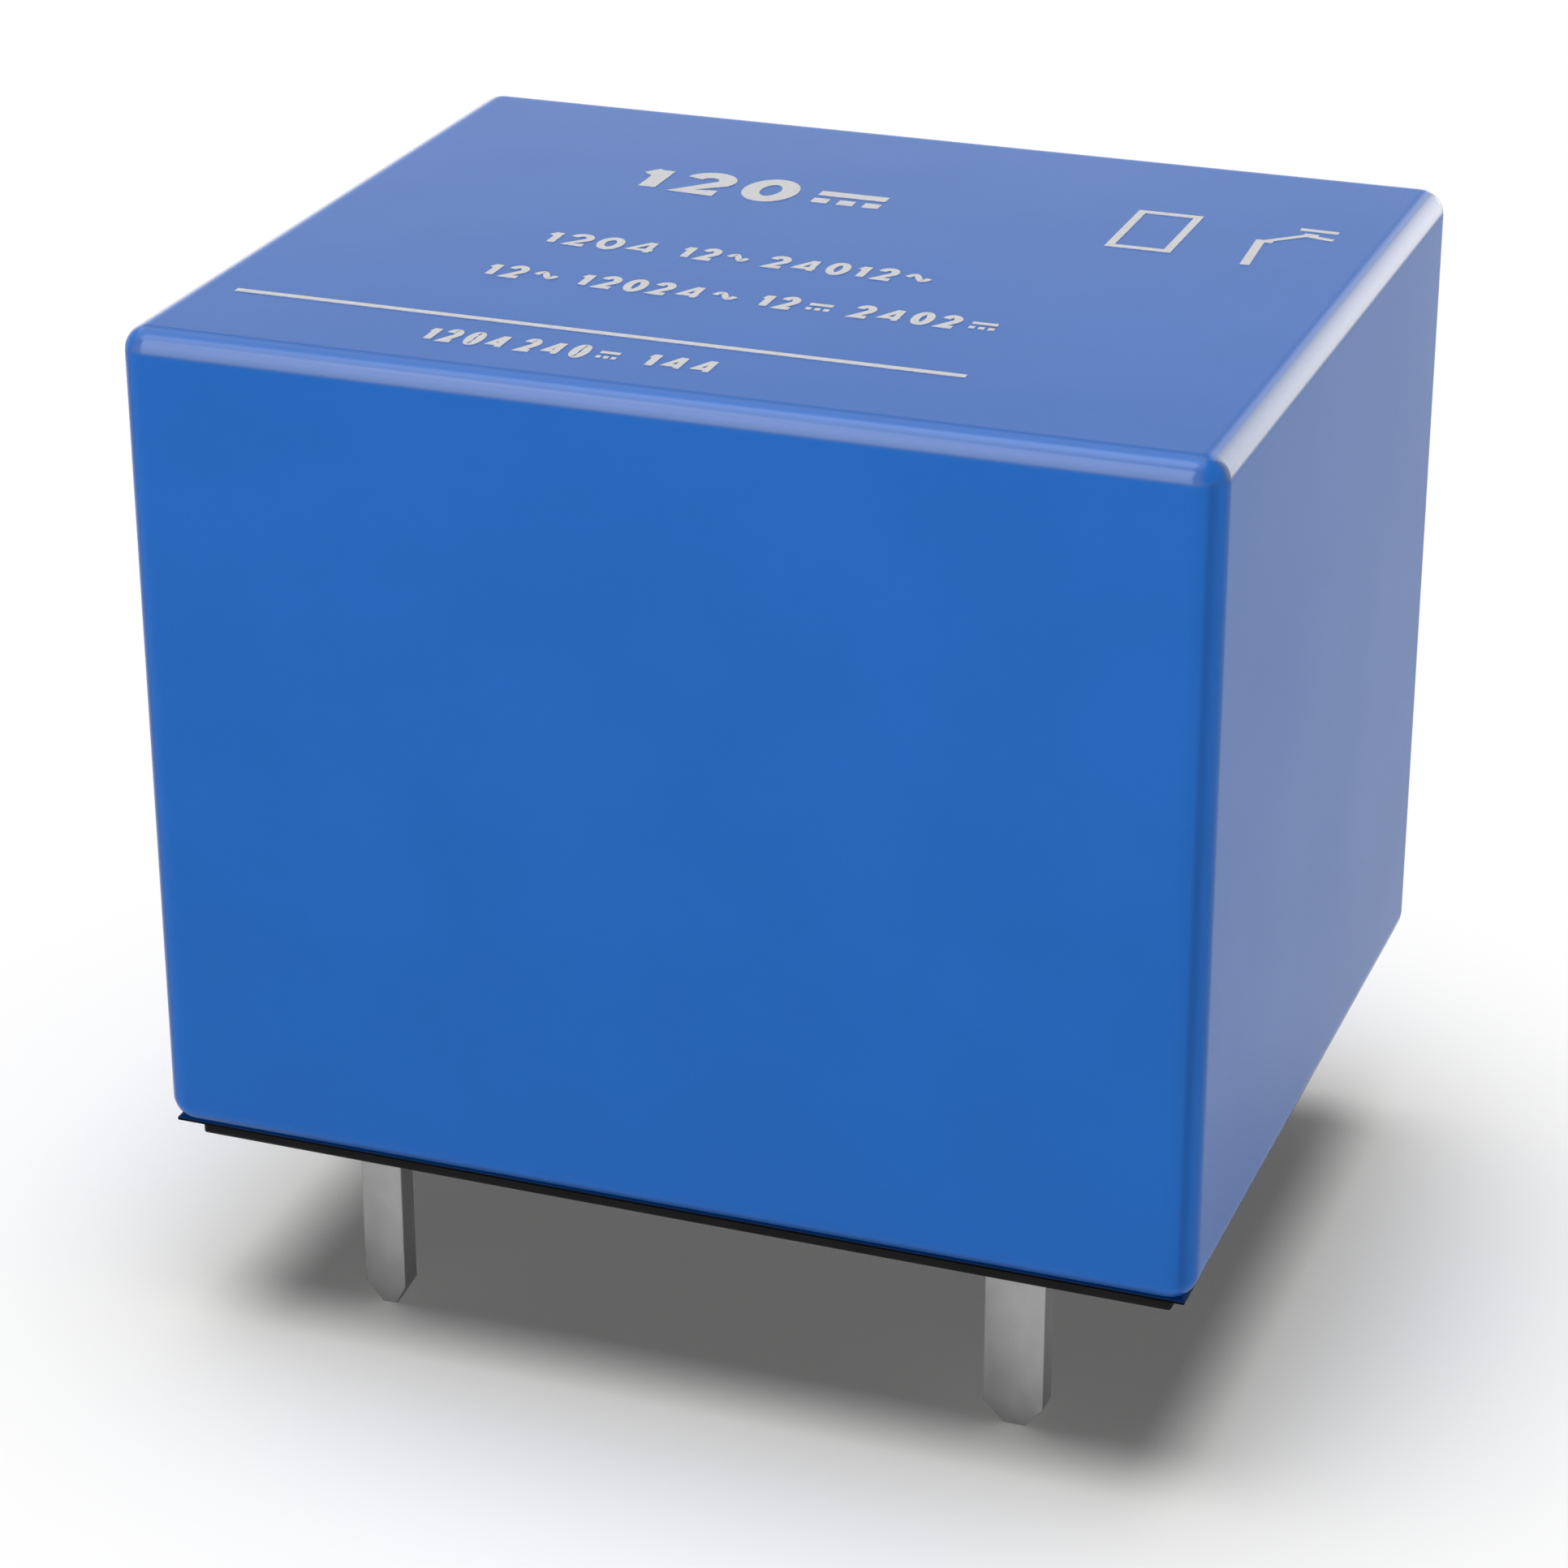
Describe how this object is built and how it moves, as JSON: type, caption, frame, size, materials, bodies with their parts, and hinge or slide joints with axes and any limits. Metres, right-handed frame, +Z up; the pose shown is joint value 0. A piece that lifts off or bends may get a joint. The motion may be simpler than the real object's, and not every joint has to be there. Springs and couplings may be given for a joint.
{
  "type": "circuit board relay",
  "caption": "Changeover relay in a sealed blue plastic housing with flat blade pins for a circuit board and a hinged armature inside.",
  "frame": {"origin": "centre of the base's underside, the face that seats on the board", "axes": "+X along the housing towards the contact pins, -Z into the board, +Z up"},
  "size_m": [0.019, 0.0154, 0.0189],
  "materials": {
    "blue_plastic": "moulded, semi-gloss",
    "black_plastic": "moulded, satin",
    "resin": "cured resin, glossy",
    "white_plastic": "moulded, satin",
    "soft_iron": "nickel-plated soft iron",
    "copper_wire": "enamelled copper wire",
    "tinned_strip": "dull tin plate on copper strip",
    "solder": "tin solder",
    "rivet_brass": "brass",
    "spring_copper": "rolled spring copper alloy",
    "contact_silver": "silver alloy"
  },
  "bodies": {
    "housing": {"case": "blue_plastic", "base": "black_plastic", "seal_bead": "resin", "pin_seals": "resin", "yoke": "soft_iron", "core": "soft_iron", "bobbin": "white_plastic", "winding": "copper_wire", "coil_terminal_front": "tinned_strip", "coil_terminal_rear": "tinned_strip", "solder_joint_front": "solder", "solder_joint_rear": "solder", "common_terminal": "tinned_strip", "yoke_rivets": "rivet_brass", "normally_open_terminal": "tinned_strip", "normally_closed_terminal": "tinned_strip", "normally_open_contact": "contact_silver", "normally_closed_contact": "contact_silver"},
    "armature": {"armature": "soft_iron", "armature_rivets": "rivet_brass", "moving_leaf": "spring_copper", "moving_contact": "contact_silver"}
  },
  "joints": [
    {"name": "armature_hinge", "type": "hinge", "parent": "housing", "child": "armature", "pos_m": [-0.00763, 0, 0.01126], "axis": [0, 1, 0], "range_deg": [0, 2.5], "stiffness_Nm_per_rad": 0.03, "springref_deg": -3.44, "deforming": ["moving_leaf"]}
  ]
}
